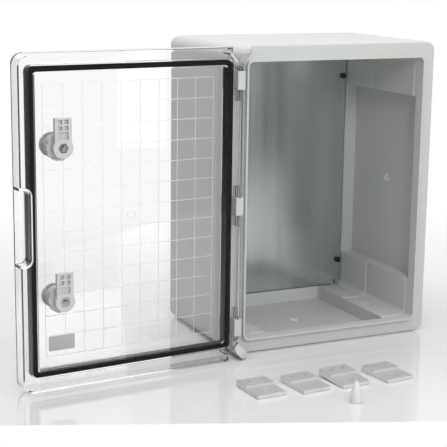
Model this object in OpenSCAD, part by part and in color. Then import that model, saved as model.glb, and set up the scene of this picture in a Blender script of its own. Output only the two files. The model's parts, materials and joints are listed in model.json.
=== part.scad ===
// Wall-mounting ABS enclosure with a clear hinged door, two quarter-turn cam locks,
// a steel mounting plate and its loose fixing kit.
// The case stands on z = 0 and is centred on x = 0 and y = 0; the door is on the -Y side.

/* [Case] */
// Outer width of the case
case_w = 300; // [260:5:400]
// Outer height of the case
case_h = 400; // [360:5:500]
// Depth of the case body, from the rim plane to the back
case_d = 198; // [150:2:260]
// Thickness of the outer walls
wall_t = 4.5; // [3:0.5:6]
// Thickness of the back wall
back_t = 3.5; // [2.5:0.5:5]
// Radius of the four long outer corners
corner_r = 16; // [12:1:20]
// Radius round the back edges
back_r = 5; // [3:0.5:8]
// Radius round the front edges
rim_r = 3; // [1:0.5:4]

/* [Sealing lip] */
// Width of the flat rim outside the sealing lip
band_w = 18.5; // [17:0.5:22]
// Thickness of the sealing lip
lip_t = 2.5; // [2:0.5:4]
// Height of the sealing lip in front of the rim plane
lip_h = 6.5; // [5:0.5:8]
// Outer corner radius of the sealing lip
lip_r = 9; // [6:0.5:12]

/* [Cavity] */
// Depth of the first moulding step behind the rim plane
step_a_y = 14; // [12:1:20]
// Depth of the second moulding step behind the rim plane
step_b_y = 116; // [80:2:140]
// How far each moulding step narrows the cavity
step_w = 1.1; // [0.5:0.1:1.5]
// Thickness of the web between the rim plane and the wall pockets
web_t = 9; // [8:0.5:12]
// Distance from the wall pockets to the back face
pocket_back = 10; // [8:1:16]
// Distance from the side pockets to the top and bottom of the case
pocket_end = 74; // [66:1:90]
// Distance from the top and bottom pockets to the sides of the case
pocket_side = 60; // [50:1:80]
// Diameter of the round gate marks
gate_d = 11; // [8:1:14]
// Depth of the round gate marks
gate_t = 0.4; // [0.2:0.1:0.8]

/* [Back of the case] */
// Length of the cored-out corner legs, from the corner of the case
core_leg = 54; // [40:1:56]
// Thickness of the skin between the cores and the cavity
core_skin = 3; // [2:0.5:4]
// Distance from the rim plane to the front end of the cores
core_front = 12; // [10:1:20]
// Distance of the fixing holes from the edges of the case
fix_inset = 12; // [11:0.5:14]
// Distance between the two fixing holes of a corner
fix_pitch = 18; // [16:0.5:20]
// Diameter of the fixing holes
fix_d = 4.2; // [3:0.1:5]
// Depth of the fixing holes
fix_depth = 22; // [12:1:30]
// Diameter of the bosses round the fixing holes
fix_boss_d = 11; // [9:0.5:12]

/* [Hinge] */
// Opening angle of the door as it stands
door_open = 175; // [100:1:178]
// Distance of the hinge axis from the side of the case
axis_in = 5; // [5:0.5:6]
// Distance of the hinge axis in front of the rim plane
axis_out = 11.2; // [10:0.2:12]
// Diameter of the hinge pins
pin_d = 3; // [2:0.5:4]
// Radial running clearance of the hinge pins in the door
pin_fit = 0.05; // [0.01:0.01:0.1]
// Height of the hinge blocks on the case
block_h = 23; // [16:1:30]
// Distance of the end hinges from the top and bottom of the case
block_end = 42; // [40:1:60]
// How far a hinge block stands in front of the hinge axis
block_nose = 7; // [5:0.5:8]
// Radius of the door knuckles
knuckle_r = 4.6; // [3.5:0.1:4.8]
// Length of a full door knuckle
knuckle_h = 13.5; // [8:0.5:18]
// Length of the short knuckle next to a corner
short_knuckle_h = 5.8; // [4:0.2:7]
// Gap between knuckles and blocks
knuckle_gap = 0.5; // [0.3:0.1:1]
// Depth of the recess for the hinge in the rim
recess_d = 5; // [3:0.5:6]
// Gap between the door and the corner posts
post_gap = 1; // [0.6:0.1:2]
// Radius round the foot and head of the corner posts
post_round = 5; // [2:0.5:6]

/* [Door] */
// Depth of the door tray
door_d = 21.5; // [20:0.5:24]
// Gap between the closed door and the rim
door_gap = 0.5; // [0.3:0.1:1]
// Thickness of the clear panel
panel_t = 3; // [2:0.5:4]
// Thickness of the door's skirt
skirt_t = 3; // [2:0.5:4]
// How much the door is set in from the top and bottom of the case
door_inset = 0.8; // [0.3:0.1:2]
// Distance from the side of the case to the door's hinge edge
hinge_edge = 6.5; // [6.5:0.1:8]
// Width of the cut at the door's hinge corners
cut_w = 21.5; // [20:0.5:24]
// Height of the straight part of that cut
cut_h = 8.4; // [7:0.2:10]
// Thickness of the ribs that hold the gasket
rib_t = 1.8; // [1.2:0.1:2.5]
// Height of the ribs that hold the gasket
rib_h = 10; // [6:0.5:11]
// Width of the gasket
gasket_w = 5.6; // [4:0.2:6]
// Gap between the closed gasket and the sealing lip
gasket_gap = 0.3; // [0.2:0.1:1]
// Pitch of the moulded line grid
grid_pitch = 25; // [20:1:30]
// Width of a moulded grid line
grid_line = 0.9; // [0.5:0.1:1.5]
// Height of a moulded grid line
grid_t = 0.3; // [0.2:0.1:0.6]
// Length of the finger grip in the free edge
grip_h = 88; // [60:2:110]
// Width of the finger grip
grip_w = 13; // [10:0.5:13]
// Radius of the finger grip's corners
grip_r = 7; // [3:0.5:9]
// Width of the bare label plate
label_w = 33; // [20:1:40]
// Height of the bare label plate
label_h = 18; // [12:1:20]
// Thickness of the bare label plate
label_t = 0.6; // [0.4:0.1:1]
// Distance of the label plate from the free edge of the door
label_in = 41; // [40:1:60]
// Distance of the label plate from the bottom of the case
label_up = 44; // [36:1:60]

/* [Cam locks] */
// Distance of the lock axes from the free edge of the door
lock_in = 49; // [47:1:50]
// Distance between the two lock axes
lock_pitch = 180; // [140:5:200]
// How far the pair of locks sits above the middle of the case
lock_lift = 2; // [0:0.5:6]
// Radius of the threaded lock barrel
barrel_r = 9.9; // [8:0.1:11]
// Clearance of the barrel in the panel and the ring nut
barrel_gap = 0.15; // [0.1:0.05:0.3]
// Radius of the outer collar
collar_r = 14.5; // [13:0.5:18]
// Thickness of the outer collar
collar_t = 3.5; // [2.5:0.5:5]
// Thickness of the sealing washer under the collar
washer_t = 1; // [0.5:0.1:2]
// Radius of the ring nut's hub
ring_hub_r = 12.5; // [11.5:0.5:13.5]
// Radius of the ring nut's grip
ring_r = 16; // [14.5:0.5:18]
// Height of the ring nut
ring_h = 21.4; // [14:0.2:22]
// Thickness of the ring nut's grip
ring_grip_t = 5.4; // [3:0.2:8]
// Number of grip flutes in the ring nut
ring_flutes = 10; // [6:1:16]
// Radius of the turning spindle
spindle_r = 6; // [5:0.1:7]
// Radial running clearance of the spindle
spindle_fit = 0.05; // [0.01:0.01:0.1]
// Radius of the spindle's head
head_r = 8; // [7.5:0.1:9]
// Gap between moving and fixed faces
run_gap = 0.3; // [0.2:0.1:0.5]
// Width of the cam
cam_w = 20.4; // [16:0.2:22]
// Reach of the cam from the lock axis
cam_reach = 34.5; // [33:0.5:38]
// Radius of the round end of the cam
cam_r = 12; // [11:0.2:13]
// Thickness of the cam
cam_t = 5; // [4:0.5:7]
// Side of the square drive between spindle and cam
drive_w = 8; // [7:0.1:8.2]
// Width across flats of the cam nut
nut_af = 10; // [9:0.5:11]

/* [Mounting plate] */
// Clearance from the side edges of the mounting plate to the case
plate_side_gap = 1.8; // [1.2:0.2:10]
// Clearance from the top and bottom of the mounting plate to the case
plate_end_gap = 1.8; // [1.2:0.2:10]
// Thickness of the mounting plate
plate_t = 2; // [1.5:0.5:3]
// Height of the bosses behind the mounting plate
plate_boss_h = 5.5; // [4:0.5:12]
// Diameter of the bosses behind the mounting plate
plate_boss_d = 10; // [8:0.5:11]
// Distance of the plate screws from the side edges of the plate
screw_in = 5; // [5:0.5:8]
// Distance of the plate screws from the top and bottom of the plate
screw_end = 37; // [30:1:60]
// Distance of the spare slots from the side edges of the plate
slot_in = 10; // [8:1:20]
// Depth of the spare slots in the top and bottom edges
slot_d = 6; // [4:0.5:8]
// Diameter of the plate screws
screw_d = 4; // [3:0.5:5]
// Diameter of the plate screw heads
screw_head_d = 8.4; // [7:0.2:9]
// Height of the plate screw heads
screw_head_t = 2.8; // [2:0.2:4]
// Clearance round the screws in slots and bosses
screw_gap = 0.05; // [0.05:0.05:0.3]

/* [Loose fixing kit] */
// Distance of the row of brackets in front of the rim
kit_front = 112; // [60:2:200]
// Distance of the first bracket to the left of the case's middle
kit_left = 173; // [120:1:220]
// Clearance between the brackets in their row
kit_gap = 17.9; // [12:0.1:40]
// Distance by which a bracket stands nearer than the one to its left
kit_stagger = 5; // [0:0.5:12]
// Distance of the key in front of the row of brackets
key_ahead = 52; // [20:1:120]
// Distance of the key to the left of the case's middle
key_left = 87; // [0:1:180]
// Width of a wall bracket
bracket_w = 38.5; // [34:0.5:44]
// Length of the bracket's pad for the case
bracket_pad = 20; // [16:1:26]
// Length of the bracket's lug for the wall
bracket_lug = 28; // [20:1:34]
// Length of the step between pad and lug
bracket_web = 4; // [3:0.5:6]
// Thickness of pad and lug
bracket_t = 4.5; // [3:0.5:6]
// Height of the step between pad and lug
bracket_step = 3.5; // [2:0.5:4]
// Diameter of the wall hole in the lug
lug_hole_d = 6.4; // [5:0.2:8]
// Radius of the foot of the lock key
key_r = 7.3; // [6:0.1:8]
// Radius of the lock key's arched flank
key_flank_r = 58; // [40:1:80]
// Radius of the lock key's nose
key_nose_r = 2.2; // [1.5:0.1:3]

/* [Hidden] */
$fn = 96;
eps = 0.01;

// Places that several pieces share
rim_y = -case_d / 2;
back_y = case_d / 2;
side_x = case_w / 2;
cavity_in = band_w + lip_t;
cavity_r = lip_r - lip_t;
back_in = cavity_in + 2 * step_w;
plate_w = case_w - 2 * (back_in + plate_side_gap);
plate_h = case_h - 2 * (back_in + plate_end_gap);
axis_x = -side_x + axis_in;
axis_y = rim_y - axis_out;
hinge_z = [block_end, case_h / 2, case_h - block_end];
door_back = rim_y - door_gap;
door_front = door_back - door_d;
panel_back = door_front + panel_t;
lip_mid = band_w + lip_t / 2;
gasket_h = rim_y - lip_h - gasket_gap - panel_back;
rib_gap = 0.2;
plate_y = back_y - back_t - plate_boss_h - plate_t;
lock_x = side_x - lock_in;
lock_z = [case_h / 2 + lock_lift - lock_pitch / 2, case_h / 2 + lock_lift + lock_pitch / 2];
cam_z = rim_y + web_t + run_gap - door_front;
post_r = cut_w - axis_in - post_gap;
key_y = rim_y - kit_front - bracket_pad - bracket_web - bracket_lug - key_ahead;
// The corner cut of the door runs at 45 degrees between these two heights
cut_top = cut_h + cut_w - hinge_edge;

abs_grey = [0.80, 0.81, 0.81];
clear_pc = [0.86, 0.92, 0.95, 0.35];

// ---- outlines and frames ----

// Rectangle with round corners, centred on the origin
module round_rect(w, h, r) {
    square([w - 2 * r, h], center = true);
    square([w, h - 2 * r], center = true);
    for (x = [-1, 1], z = [-1, 1])
        translate([x * (w / 2 - r), z * (h / 2 - r)]) circle(r);
}

// Extrudes an outline drawn in X and Z from y0 to y1
module along_y(y0, y1) {
    translate([0, y1, 0]) rotate([90, 0, 0]) linear_extrude(y1 - y0) children();
}

// The case outline set in by d, from y0 to y1
module case_slab(d, r, y0, y1) {
    along_y(y0, y1) translate([0, case_h / 2]) round_rect(case_w - 2 * d, case_h - 2 * d, r);
}

// A bar from y0 to y1 with round front and back edges, length w along its first axis
module edge_profile(w, y0, y1, front_r, rear_r) {
    translate([-w / 2, y0 + front_r]) square([w, y1 - y0 - front_r - rear_r]);
    translate([-w / 2 + rear_r, y1 - rear_r - 1]) square([w - 2 * rear_r, rear_r + 1]);
    translate([-w / 2 + front_r, y0]) square([w - 2 * front_r, front_r + 1]);
    for (s = [-1, 1]) {
        translate([s * (w / 2 - rear_r), y1 - rear_r]) circle(rear_r);
        translate([s * (w / 2 - front_r), y0 + front_r]) circle(front_r);
    }
}

// Solid of the size w by h whose front and back edges are round all the way round
module rounded_edges(w, h, y0, y1, front_r, rear_r) {
    intersection() {
        linear_extrude(case_h) edge_profile(w, y0, y1, front_r, rear_r);
        translate([-case_w / 2, 0, case_h / 2]) rotate([90, 0, 90]) linear_extrude(case_w)
            edge_profile_turned(h, y0, y1, front_r, rear_r);
    }
}

// The same bar with its length along the second axis
module edge_profile_turned(h, y0, y1, front_r, rear_r) {
    mirror([1, -1]) edge_profile(h, y0, y1, front_r, rear_r);
}

// Swings what is drawn on the closed door to where the door stands
module on_door() {
    translate([axis_x, axis_y, 0]) rotate(-door_open) translate([-axis_x, -axis_y, 0]) children();
}

// Lock frame: origin on the panel's outer face, z into the case, -y up
module at_lock(z) {
    on_door() translate([lock_x, door_front, z]) rotate([-90, 0, 0]) children();
}

// ---- case ----

// The four quarters of the back, drawn once at the lower left corner
module each_corner() {
    for (x = [0, 1], z = [0, 1])
        translate([0, 0, z * case_h]) mirror([0, 0, z]) mirror([x, 0, 0])
            translate([-side_x, 0, 0]) children();
}

module case_shell() {
    intersection() {
        case_slab(0, corner_r, rim_y, back_y);
        rounded_edges(case_w, case_h, rim_y, back_y, rim_r, back_r);
    }
    // Sealing lip
    case_slab(band_w, lip_r, rim_y - lip_h, rim_y + eps);
}

// Corner post about the hinge axis, which fills the cut corner of the door
module corner_post() {
    taper = cut_top - cut_h - 0.4;
    intersection() {
        translate([axis_x, axis_y, 0]) {
            rotate_extrude() {
                square([post_r - post_round, cut_h]);
                translate([0, post_round]) square([post_r, cut_h - post_round]);
                translate([post_r - post_round, post_round]) circle(post_round);
            }
            translate([0, 0, cut_h]) cylinder(r1 = post_r, r2 = post_r - taper, h = taper);
        }
        case_slab(0, corner_r, rim_y - 2 * cut_w, rim_y + recess_d);
    }
}

module corner_posts() {
    corner_post();
    translate([0, 0, case_h]) mirror([0, 0, 1]) corner_post();
}

module cavity() {
    case_slab(cavity_in, cavity_r, rim_y - lip_h - 1, rim_y + step_a_y);
    case_slab(cavity_in + step_w, cavity_r, rim_y, rim_y + step_b_y);
    case_slab(back_in, cavity_r, rim_y, back_y - back_t);
    // Wall pockets with their gate marks
    pocket_y0 = rim_y + web_t;
    pocket_len = case_d - web_t - pocket_back;
    gate_y = pocket_y0 + pocket_len / 2;
    translate([-side_x + wall_t, pocket_y0, pocket_end])
        cube([case_w - 2 * wall_t, pocket_len, case_h - 2 * pocket_end]);
    translate([-side_x + pocket_side, pocket_y0, wall_t])
        cube([case_w - 2 * pocket_side, pocket_len, case_h - 2 * wall_t]);
    translate([-side_x + wall_t - gate_t, gate_y, case_h / 2]) rotate([0, 90, 0])
        cylinder(d = gate_d, h = case_w - 2 * wall_t + 2 * gate_t);
    translate([0, gate_y, wall_t - gate_t])
        cylinder(d = gate_d, h = case_h - 2 * wall_t + 2 * gate_t);
}

module hinge_recess() {
    translate([-side_x - 1, rim_y - 1, cut_top])
        cube([band_w - 1, recess_d + 1, case_h - 2 * cut_top]);
}

module hinge_blocks() {
    for (z = hinge_z)
        translate([axis_x - axis_in, axis_y - block_nose, z - block_h / 2])
            cube([2 * axis_in, axis_out + block_nose + recess_d, block_h]);
}

// Corner cores in the back, with the fixing bosses left standing
module corner_cores() {
    core_w = cavity_in - core_skin;
    difference() {
        intersection() {
            case_slab(wall_t, corner_r - wall_t, rim_y + core_front, back_y + 1);
            each_corner() {
                translate([0, rim_y, 0]) cube([core_w, case_d + 2, core_leg]);
                translate([0, rim_y, 0]) cube([core_leg, case_d + 2, core_w]);
            }
        }
        each_corner() for (k = [0, 1])
            translate([fix_inset + k * fix_pitch, rim_y, fix_inset]) rotate([-90, 0, 0])
                cylinder(d = fix_boss_d, h = case_d);
    }
}

module fixing_holes() {
    each_corner() for (k = [0, 1])
        translate([fix_inset + k * fix_pitch, back_y - fix_depth, fix_inset]) rotate([-90, 0, 0])
            cylinder(d = fix_d, h = fix_depth + 1);
}

// Places of the four plate screws
module each_plate_screw() {
    for (x = [-1, 1], z = [-1, 1])
        translate([x * (plate_w / 2 - screw_in), 0, case_h / 2 + z * (plate_h / 2 - screw_end)])
            rotate([-90, 0, 0]) children();
}

module base_box() color(abs_grey) {
    boss_y = back_y - back_t - plate_boss_h;
    difference() {
        union() {
            difference() {
                case_shell();
                cavity();
                corner_cores();
                hinge_recess();
            }
            corner_posts();
            hinge_blocks();
            each_plate_screw() translate([0, 0, boss_y])
                cylinder(d = plate_boss_d, h = plate_boss_h + 1);
        }
        fixing_holes();
        translate([axis_x, axis_y, cut_top]) cylinder(d = pin_d, h = case_h - 2 * cut_top);
        each_plate_screw() translate([0, 0, boss_y - 1])
            cylinder(d = screw_d + 2 * screw_gap, h = plate_boss_h + back_t - 0.5);
    }
}

// ---- mounting plate ----

module mounting_plate() color([0.66, 0.70, 0.72]) {
    slot_w = screw_d + 1.2;
    difference() {
        along_y(plate_y, plate_y + plate_t) translate([0, case_h / 2]) round_rect(plate_w, plate_h, 3);
        each_plate_screw() translate([0, 0, plate_y - 1]) cylinder(d = slot_w, h = plate_t + 2);
        for (x = [-1, 1], z = [-1, 1])
            translate([x * plate_w / 2, plate_y + plate_t / 2, case_h / 2 + z * (plate_h / 2 - screw_end)])
                cube([2 * screw_in, plate_t + 2, slot_w], center = true);
        for (x = [-1, 1], z = [-1, 1])
            translate([x * (plate_w / 2 - slot_in), plate_y + plate_t / 2, case_h / 2 + z * plate_h / 2])
                cube([slot_w, plate_t + 2, 2 * slot_d], center = true);
    }
}

module mounting_plate_screws() color([0.15, 0.16, 0.17]) {
    shank_h = plate_t + plate_boss_h + 1;
    each_plate_screw() translate([0, 0, plate_y]) {
        cylinder(d = screw_d, h = shank_h);
        difference() {
            translate([0, 0, -screw_head_t]) cylinder(d = screw_head_d, h = screw_head_t);
            for (a = [0, 90]) rotate(a) translate([0, 0, -screw_head_t])
                cube([screw_head_d * 0.55, 1, 2], center = true);
        }
    }
}

// ---- hinge pins ----

// Pin of hinge number i: low and high say how far it reaches past the block
module hinge_pin(i, low, high) color([0.35, 0.36, 0.37]) {
    translate([axis_x, axis_y, hinge_z[i] - block_h / 2 - low])
        cylinder(d = pin_d, h = block_h + low + high);
}

full_reach = knuckle_gap + knuckle_h;
short_reach = knuckle_gap + short_knuckle_h;
module hinge_pin_bottom() hinge_pin(0, short_reach, full_reach);
module hinge_pin_middle() hinge_pin(1, full_reach, full_reach);
module hinge_pin_top() hinge_pin(2, full_reach, short_reach);

// ---- door, drawn closed ----

// The door's outline in X and Z, set in by d
module door_outline(d) {
    slant = cut_w + cut_h + d * sqrt(2);
    low = door_inset + d;
    x0 = hinge_edge + d;
    x1 = cut_w + d;
    intersection() {
        translate([0, case_h / 2])
            round_rect(case_w - 2 * d, case_h - 2 * low, corner_r - d);
        translate([-side_x, 0]) polygon([
            [x0, slant - x0], [x1, slant - x1], [x1, 0], [case_w, 0],
            [case_w, case_h], [x1, case_h], [x1, case_h - slant + x1], [x0, case_h - slant + x0]
        ]);
    }
}

// Loop between two insets from the case outline, on the panel's inner face
module loop(outer, inner, r, h) {
    along_y(panel_back - eps, panel_back + h) translate([0, case_h / 2]) difference() {
        round_rect(case_w - 2 * outer, case_h - 2 * outer, r);
        round_rect(case_w - 2 * inner, case_h - 2 * inner, max(r - inner + outer, 0.5));
    }
}

module door_tray() {
    intersection() {
        union() {
            along_y(door_front, panel_back) door_outline(0);
            along_y(panel_back - eps, door_back) difference() {
                door_outline(0);
                door_outline(skirt_t);
            }
        }
        rounded_edges(case_w, case_h - 2 * door_inset, door_front, door_back + 5, rim_r, 1);
    }
    rib_in = gasket_w / 2 + rib_gap;
    loop(lip_mid - rib_in - rib_t, lip_mid - rib_in, 8, rib_h);
    loop(lip_mid + rib_in, lip_mid + rib_in + rib_t, 4, rib_h);
}

// Moulded drilling grid on the inner face of the panel, left out under the ring nuts
module door_grid() {
    difference() {
        grid_lines();
        for (z = lock_z)
            translate([lock_x, panel_back, z]) rotate([-90, 0, 0])
                cylinder(r = ring_hub_r + 1, h = grid_t + 1);
    }
}

module grid_lines() {
    columns = floor((case_w - 2 * (lip_mid + grid_pitch / 2)) / grid_pitch);
    rows = floor((case_h - 2 * (lip_mid + grid_pitch / 2)) / grid_pitch);
    for (i = [0 : columns])
        translate([(i - columns / 2) * grid_pitch - grid_line / 2, panel_back - eps,
                   case_h / 2 - rows / 2 * grid_pitch])
            cube([grid_line, grid_t + eps, rows * grid_pitch]);
    for (j = [0 : rows])
        translate([-columns / 2 * grid_pitch, panel_back - eps,
                   case_h / 2 + (j - rows / 2) * grid_pitch - grid_line / 2])
            cube([columns * grid_pitch, grid_t + eps, grid_line]);
}

// Finger grip widened by d all round; it runs out of the door's free edge
module grip_outline(d) {
    reach = 2 * (grip_w + d);
    translate([side_x, case_h / 2]) round_rect(reach, grip_h + 2 * d, grip_r + d);
}

module grip_wall() {
    intersection() {
        along_y(panel_back - eps, door_back) grip_outline(skirt_t);
        translate([0, door_front, 0]) cube([side_x - 0.5, door_d, case_h]);
    }
}

module grip_hollow() {
    along_y(panel_back, door_back + 1) grip_outline(0);
}

// One knuckle with its web to the door's hinge edge
module knuckle(z, h) {
    translate([axis_x, axis_y, z]) {
        cylinder(r = knuckle_r, h = h);
        translate([0, -knuckle_r, 0])
            cube([hinge_edge - axis_in + skirt_t, 2 * knuckle_r, h]);
    }
}

module knuckles() {
    for (i = [0 : 2]) {
        above = i == 2 ? short_knuckle_h : knuckle_h;
        below = i == 0 ? short_knuckle_h : knuckle_h;
        knuckle(hinge_z[i] + block_h / 2 + knuckle_gap, above);
        knuckle(hinge_z[i] - block_h / 2 - knuckle_gap - below, below);
    }
}

// Room that each hinge block needs in the door's hinge edge
module block_cuts() {
    for (z = hinge_z)
        translate([-side_x - 1, door_front - 1, z - block_h / 2 - knuckle_gap])
            cube([lip_mid - gasket_w / 2 - rib_gap - rib_t - 0.2 + 1, door_d + 2,
                  block_h + 2 * knuckle_gap]);
}

module door() color(clear_pc) on_door() {
    difference() {
        union() {
            difference() {
                union() {
                    door_tray();
                    door_grid();
                    grip_wall();
                }
                grip_hollow();
                block_cuts();
            }
            knuckles();
        }
        translate([axis_x, axis_y, -1]) cylinder(d = pin_d + 2 * pin_fit, h = case_h + 2);
        for (z = lock_z)
            translate([lock_x, door_front - 1, z]) rotate([-90, 0, 0])
                cylinder(r = barrel_r + barrel_gap, h = panel_t + 3);
        // Gate mark in the middle of the panel
        translate([0, panel_back - gate_t, case_h / 2]) rotate([-90, 0, 0]) difference() {
            cylinder(d = gate_d, h = 1);
            translate([0, 0, -1]) cylinder(d = gate_d - 2, h = 3);
        }
    }
}

module door_gasket() color([0.06, 0.06, 0.06]) on_door()
    along_y(panel_back, panel_back + gasket_h) translate([0, case_h / 2]) difference() {
        outer = lip_mid - gasket_w / 2;
        inner = lip_mid + gasket_w / 2;
        round_rect(case_w - 2 * outer, case_h - 2 * outer, 6);
        round_rect(case_w - 2 * inner, case_h - 2 * inner, 2);
    }

module door_label() color([0.74, 0.75, 0.76]) on_door()
    translate([side_x - label_in - label_w / 2, 0, label_up + label_h / 2])
        along_y(panel_back + grid_t, panel_back + grid_t + label_t) round_rect(label_w, label_h, 1.5);

// ---- cam lock, drawn in the lock frame ----

module lock_housing() {
    barrel_h = cam_z - run_gap;
    head_h = collar_t + washer_t;
    difference() {
        union() {
            rotate_extrude() {
                translate([0, -head_h]) square([collar_r - 1.5, collar_t]);
                translate([0, -head_h + 1.5]) square([collar_r, collar_t - 1.5]);
                translate([collar_r - 1.5, -head_h + 1.5]) circle(1.5);
            }
            translate([0, 0, -washer_t - eps]) cylinder(r = barrel_r, h = barrel_h + washer_t);
        }
        translate([0, 0, -head_h - 1]) cylinder(r = spindle_r + spindle_fit, h = cam_z + head_h + 2);
        translate([0, 0, -head_h - 1]) cylinder(r = head_r + run_gap, h = head_h + 1 + panel_t);
    }
}

module lock_washer() {
    translate([0, 0, -washer_t]) difference() {
        cylinder(r = collar_r - 1, h = washer_t);
        translate([0, 0, -1]) cylinder(r = barrel_r + barrel_gap, h = washer_t + 2);
    }
}

module lock_ring_nut() {
    flute_r = 1.6;
    translate([0, 0, panel_t]) difference() {
        union() {
            cylinder(r = ring_hub_r, h = ring_h);
            translate([0, 0, ring_h - ring_grip_t]) cylinder(r = ring_r, h = ring_grip_t);
        }
        translate([0, 0, -1]) cylinder(r = barrel_r + barrel_gap, h = ring_h + 2);
        for (i = [0 : ring_flutes - 1])
            rotate((i + 0.5) * 360 / ring_flutes) translate([ring_r + 0.4, 0, ring_h - ring_grip_t - 1])
                cylinder(r = flute_r, h = ring_grip_t + 2);
    }
}

module lock_spindle() {
    head_top = -collar_t - washer_t + 1;
    shoulder = panel_t - run_gap;
    cam_seat = cam_z;
    web_top = cam_z + cam_t - 3;
    difference() {
        union() {
            translate([0, 0, head_top]) cylinder(r = head_r, h = shoulder - head_top);
            cylinder(r = spindle_r, h = cam_seat);
            translate([-drive_w / 2, -drive_w / 2, 1]) cube([drive_w, drive_w, web_top - 1.2]);
            cylinder(r = 3, h = cam_z + cam_t + 0.6);
        }
        // Double-bit key socket with its centre pin
        translate([0, 0, head_top - 1]) difference() {
            union() {
                cylinder(r = 4.4, h = 5);
                translate([-6, -1.2, 0]) cube([12, 2.4, 5]);
            }
            cylinder(r = 1.8, h = 5);
        }
    }
}

module lock_cam() {
    pocket_t = 3;
    cell = 5;
    rib = 2;
    edge = 2.2;
    middle = 2.6;
    slot_y = edge + 2 * (cell + rib);
    translate([0, 0, cam_z]) difference() {
        union() {
            cylinder(r = cam_r, h = cam_t);
            translate([-cam_w / 2, -cam_reach, 0]) cube([cam_w, cam_reach, cam_t]);
        }
        translate([-drive_w / 2 - 0.05, -drive_w / 2 - 0.05, -1])
            cube([drive_w + 0.1, drive_w + 0.1, cam_t + 2]);
        // Seat of the cam nut
        translate([0, 0, cam_t - pocket_t]) cylinder(r = nut_af / sqrt(3) + 0.4, h = pocket_t + 1, $fn = 6);
        // Coring pockets
        for (x = [-1, 1], y = [0, 1])
            translate([x * (cell + middle) / 2 - cell / 2, -cam_reach + edge + y * (cell + rib),
                       cam_t - pocket_t])
                cube([cell, cell, pocket_t + 1]);
        translate([-cell - middle / 2, -cam_reach + slot_y, cam_t - pocket_t])
            cube([2 * cell + middle, cam_reach - slot_y - cam_r + 2.4, pocket_t + 1]);
    }
}

module lock_cam_nut() {
    translate([0, 0, cam_z + cam_t - 3]) difference() {
        cylinder(r = nut_af / sqrt(3), h = 2.8, $fn = 6);
        translate([0, 0, -1]) cylinder(r = 3.05, h = 6);
    }
}

module upper_lock_housing() color(abs_grey) at_lock(lock_z[1]) lock_housing();
module upper_lock_washer() color("dimgray") at_lock(lock_z[1]) lock_washer();
module upper_lock_ring_nut() color(abs_grey) at_lock(lock_z[1]) lock_ring_nut();
module upper_lock_spindle() color("gray") at_lock(lock_z[1]) lock_spindle();
module upper_lock_cam() color(abs_grey) at_lock(lock_z[1]) lock_cam();
module upper_lock_cam_nut() color("silver") at_lock(lock_z[1]) lock_cam_nut();
module lower_lock_housing() color(abs_grey) at_lock(lock_z[0]) lock_housing();
module lower_lock_washer() color("dimgray") at_lock(lock_z[0]) lock_washer();
module lower_lock_ring_nut() color(abs_grey) at_lock(lock_z[0]) lock_ring_nut();
module lower_lock_spindle() color("gray") at_lock(lock_z[0]) lock_spindle();
module lower_lock_cam() color(abs_grey) at_lock(lock_z[0]) lock_cam();
module lower_lock_cam_nut() color("silver") at_lock(lock_z[0]) lock_cam_nut();

// ---- loose fixing kit ----

// Stepped bracket: the pad at the back screws to the case, the lug in front to the wall
module wall_bracket() color(abs_grey) {
    lug_y = -bracket_pad - bracket_web - bracket_lug;
    difference() {
        union() {
            translate([-bracket_w / 2, -bracket_pad - bracket_web, bracket_step])
                cube([bracket_w, bracket_pad + bracket_web, bracket_t]);
            translate([-bracket_w / 2, lug_y, 0])
                cube([bracket_w, bracket_lug + bracket_web, bracket_t]);
            // Side ribs that stiffen the step
            for (x = [-bracket_w / 2, bracket_w / 2 - 2.5])
                translate([x, -bracket_pad - bracket_web, 0])
                    cube([2.5, bracket_pad + bracket_web, bracket_step + eps]);
        }
        for (x = [-1, 1])
            translate([x * fix_pitch / 2, -bracket_pad / 2, -1])
                cylinder(d = fix_d + 0.6, h = bracket_step + bracket_t + 2);
        translate([0, lug_y + bracket_lug / 2, -1]) cylinder(d = lug_hole_d, h = bracket_t + 2);
        translate([0, lug_y + bracket_lug / 2, bracket_t - 1.2])
            cylinder(d1 = lug_hole_d, d2 = lug_hole_d + 2.4 + 0.02, h = 1.21);
    }
}

// A bracket turned over: it tips forward onto the front edge of its lug
module turned_bracket() {
    tip = atan(bracket_step / bracket_lug);
    rotate([tip, 0, 0]) translate([0, bracket_pad + bracket_web, 0])
        rotate([0, 180, 0]) translate([0, 0, -bracket_step - bracket_t]) wall_bracket();
}

// Place of a bracket in the row in front of the case, each a little nearer than the last
module in_row(i, nearer) {
    translate([-kit_left + i * (bracket_w + kit_gap), rim_y - kit_front - nearer, 0]) children();
}

module wall_bracket_1() in_row(0, 0) rotate(3) wall_bracket();
module wall_bracket_2() in_row(1, kit_stagger) rotate(5) wall_bracket();
module wall_bracket_3() in_row(2, 1.4 * kit_stagger + bracket_pad + bracket_web) rotate(-6) turned_bracket();
module wall_bracket_4() in_row(3, 2 * kit_stagger) rotate(6) wall_bracket();

// Bullet-shaped key: an arched flank runs smoothly into the round nose
module lock_key() color([0.90, 0.90, 0.90]) translate([-key_left, key_y, 0]) {
    arc_x = key_r - key_flank_r;
    nose_z = sqrt(pow(key_flank_r - key_nose_r, 2) - pow(arc_x, 2));
    meet_z = nose_z * key_flank_r / (key_flank_r - key_nose_r);
    difference() {
        rotate_extrude() {
            intersection() {
                translate([arc_x, 0]) circle(key_flank_r, $fn = 360);
                square([key_r, meet_z]);
            }
            intersection() {
                translate([0, nose_z]) circle(key_nose_r);
                translate([0, nose_z]) square(key_nose_r);
            }
        }
        difference() {
            translate([0, 0, -1]) cylinder(r = 4.6, h = 7);
            translate([0, 0, -1]) cylinder(r = 3.2, h = 7);
        }
    }
}

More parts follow.
